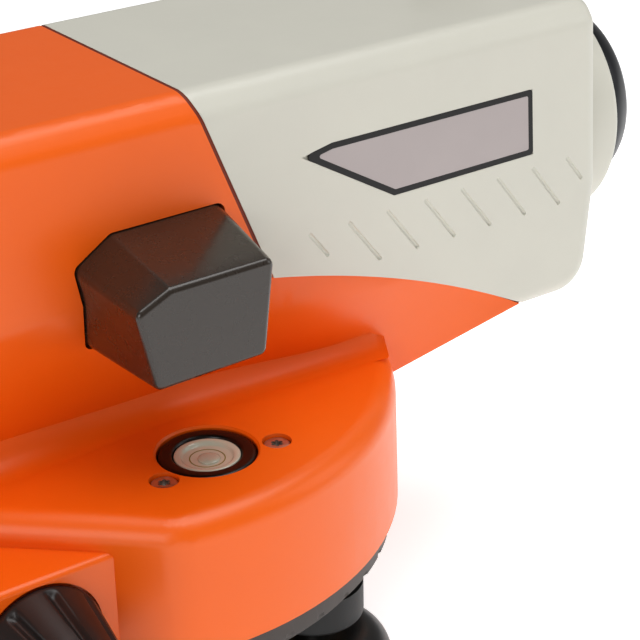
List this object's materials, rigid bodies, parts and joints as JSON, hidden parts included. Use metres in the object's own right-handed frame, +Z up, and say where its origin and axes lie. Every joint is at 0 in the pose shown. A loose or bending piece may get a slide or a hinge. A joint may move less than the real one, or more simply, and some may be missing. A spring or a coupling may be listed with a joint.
{
  "type": "automatic level",
  "caption": "Surveyor's automatic level: die-cast telescope and drum on a three-screw levelling base, with a prism-viewed bubble and slow-motion knobs.",
  "frame": {"origin": "on the tripod screw's axis at the underside of the base plate", "axes": "+X along the line of sight from eyepiece to objective, +Y to the focusing knob's side, +Z up"},
  "size_m": [0.2176, 0.14, 0.132],
  "materials": {
    "orange_paint": "satin",
    "grey_paint": "satin",
    "block_plastic": "satin",
    "knob_plastic": "satin",
    "ring_metal": "matt",
    "base_metal": "matt",
    "black_anodised": "satin",
    "tube_metal": "matt",
    "plate_metal": "satin",
    "seal_rubber": "matt",
    "cup_rubber": "matt",
    "steel": "machined",
    "stainless": "satin",
    "bronze": "machined",
    "copper": "machined",
    "lens_glass": "gloss",
    "vial_glass": "gloss"
  },
  "bodies": {
    "base": {"base_plate": "base_metal", "spring_plate": "stainless", "spring_plate_screws": "stainless"},
    "seat": {"foot_seat": "bronze"},
    "tribrach": {"tribrach": "base_metal", "foot_bushes": "bronze", "axis_spindle": "steel"},
    "spindle_a": {"foot_spindle_a": "steel"},
    "spindle_b": {"foot_spindle_b": "steel"},
    "spindle_c": {"foot_spindle_c": "steel"},
    "knob_a": {"foot_knob_a": "knob_plastic"},
    "knob_b": {"foot_knob_b": "knob_plastic"},
    "knob_c": {"foot_knob_c": "knob_plastic"},
    "circle": {"horizontal_circle": "ring_metal"},
    "wheel": {"worm_wheel": "bronze", "clutch_spring": "stainless"},
    "alidade": {"main_housing": "orange_paint", "bottom_cover": "black_anodised", "bottom_cover_screws": "stainless", "axis_bush": "bronze", "index_window": "lens_glass", "front_cover": "grey_paint", "cover_screws": "stainless", "nameplates": "plate_metal", "cover_gasket": "seal_rubber", "top_sight": "ring_metal", "telescope_tube": "tube_metal", "objective_ring": "black_anodised", "objective_lens": "lens_glass", "eyepiece_mount": "black_anodised", "adjusting_cap": "black_anodised", "reticle": "lens_glass", "reticle_ring": "black_anodised", "compensator_frame": "tube_metal", "fixed_prisms": "lens_glass", "suspension_clamps": "steel", "damper_magnets": "steel", "prism_housing": "block_plastic", "bubble_prism": "lens_glass", "level_ring": "black_anodised", "level_vial": "vial_glass", "level_base": "tube_metal", "level_spring": "stainless", "level_screws": "stainless"},
    "worm": {"worm_shaft": "steel", "tangent_knob_right": "knob_plastic", "tangent_knob_left": "knob_plastic"},
    "focus_drive": {"focus_pinion": "steel", "focus_knob": "knob_plastic"},
    "carriage": {"focusing_cell": "black_anodised", "focusing_lens": "lens_glass", "focus_rack": "bronze"},
    "dioptre": {"eyepiece_ring": "knob_plastic"},
    "ocular": {"ocular_cell": "black_anodised", "ocular_lenses": "lens_glass", "eye_cup": "cup_rubber"},
    "pendulum": {"pendulum_frame": "tube_metal", "pendulum_prism": "lens_glass", "damper_plate": "copper"}
  },
  "joints": [
    {"name": "tilt_side", "type": "hinge", "parent": "base", "child": "seat", "pos_m": [0, 0, 0.0067], "axis": [1, 0, 0], "range_deg": [-3, 3]},
    {"name": "tilt_fore", "type": "hinge", "parent": "seat", "child": "tribrach", "pos_m": [0.025, 0, 0.0067], "axis": [0, 1, 0], "range_deg": [-2, 2]},
    {"name": "foot_a_lift", "type": "slide", "parent": "tribrach", "child": "spindle_a", "axis": [0, 0, 1], "range_m": [-0.0027, 0.0027]},
    {"name": "foot_b_lift", "type": "slide", "parent": "tribrach", "child": "spindle_b", "axis": [0, 0, 1], "range_m": [-0.0024, 0.0024]},
    {"name": "foot_c_lift", "type": "slide", "parent": "tribrach", "child": "spindle_c", "axis": [0, 0, 1], "range_m": [-0.0024, 0.0024]},
    {"name": "foot_a_turn", "type": "hinge", "parent": "spindle_a", "child": "knob_a", "pos_m": [-0.05, 0, 0.0135], "axis": [0, 0, 1], "range_deg": [-1260, 1260]},
    {"name": "foot_b_turn", "type": "hinge", "parent": "spindle_b", "child": "knob_b", "pos_m": [0.025, -0.0433, 0.0135], "axis": [0, 0, 1], "range_deg": [-1100, 1100]},
    {"name": "foot_c_turn", "type": "hinge", "parent": "spindle_c", "child": "knob_c", "pos_m": [0.025, 0.0433, 0.0135], "axis": [0, 0, 1], "range_deg": [-1100, 1100]},
    {"name": "circle_turn", "type": "hinge", "parent": "tribrach", "child": "circle", "pos_m": [0, 0, 0.034], "axis": [0, 0, 1], "continuous": true},
    {"name": "coarse_turn", "type": "hinge", "parent": "tribrach", "child": "wheel", "pos_m": [0, 0, 0.046], "axis": [0, 0, 1], "continuous": true},
    {"name": "fine_turn", "type": "hinge", "parent": "wheel", "child": "alidade", "pos_m": [0, 0, 0.055], "axis": [0, 0, 1], "continuous": true},
    {"name": "worm_turn", "type": "hinge", "parent": "alidade", "child": "worm", "pos_m": [-0.037, 0, 0.046], "axis": [0, 1, 0], "continuous": true},
    {"name": "focus_travel", "type": "slide", "parent": "alidade", "child": "carriage", "axis": [1, 0, 0], "range_m": [-0.008, 0.008]},
    {"name": "focus_turn", "type": "hinge", "parent": "alidade", "child": "focus_drive", "pos_m": [0.002, 0.04, 0.0973], "axis": [0, 1, 0], "range_deg": [-184, 184]},
    {"name": "ocular_travel", "type": "slide", "parent": "alidade", "child": "ocular", "axis": [1, 0, 0], "range_m": [-0.0016, 0.0016]},
    {"name": "dioptre_turn", "type": "hinge", "parent": "alidade", "child": "dioptre", "pos_m": [-0.073, 0, 0.095], "axis": [1, 0, 0], "range_deg": [-145, 145]},
    {"name": "pendulum_swing", "type": "hinge", "parent": "alidade", "child": "pendulum", "pos_m": [-0.03, 0, 0.116], "axis": [0, 1, 0], "range_deg": [-1, 1]}
  ],
  "couplings": [
    {"joint": "foot_a_lift", "follows": "tilt_fore", "m_per_rad": -0.075},
    {"joint": "foot_b_lift", "follows": "tilt_side", "m_per_rad": 0.0433},
    {"joint": "foot_c_lift", "follows": "tilt_side", "m_per_rad": -0.0433},
    {"joint": "foot_a_turn", "follows": "tilt_fore", "ratio": -628.3},
    {"joint": "foot_b_turn", "follows": "tilt_side", "ratio": 362.7},
    {"joint": "foot_c_turn", "follows": "tilt_side", "ratio": -362.7},
    {"joint": "worm_turn", "follows": "fine_turn", "ratio": -90},
    {"joint": "focus_turn", "follows": "focus_travel", "rad_per_m": -400},
    {"joint": "dioptre_turn", "follows": "ocular_travel", "rad_per_m": -1570.8}
  ]
}
